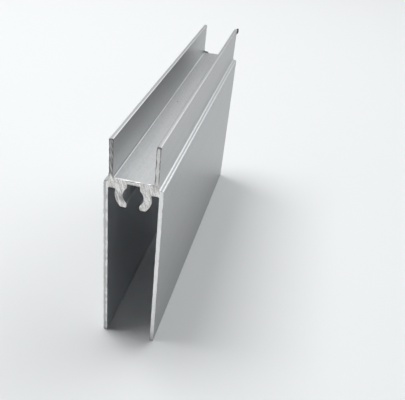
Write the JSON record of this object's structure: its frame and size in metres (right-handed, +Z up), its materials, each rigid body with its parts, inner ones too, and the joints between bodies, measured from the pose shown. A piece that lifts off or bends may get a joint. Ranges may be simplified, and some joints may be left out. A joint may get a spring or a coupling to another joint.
{
  "type": "aluminium extrusion profile",
  "caption": "Short sawn length of aluminium sash rail: a deep channel between long thin legs, a web with a C-shaped screw port below it, and a narrower glazing pocket on top.",
  "frame": {"origin": "middle of the footprint, level with the feet of the two legs", "axes": "+X across the section, +Y along the extrusion away from the front end, +Z up from the feet to the pocket's lips"},
  "size_m": [0.0126, 0.086, 0.052],
  "materials": {
    "aluminium": "satin mill finish, sawn ends"
  },
  "bodies": {
    "root": {"rail_profile": "aluminium"}
  },
  "joints": []
}
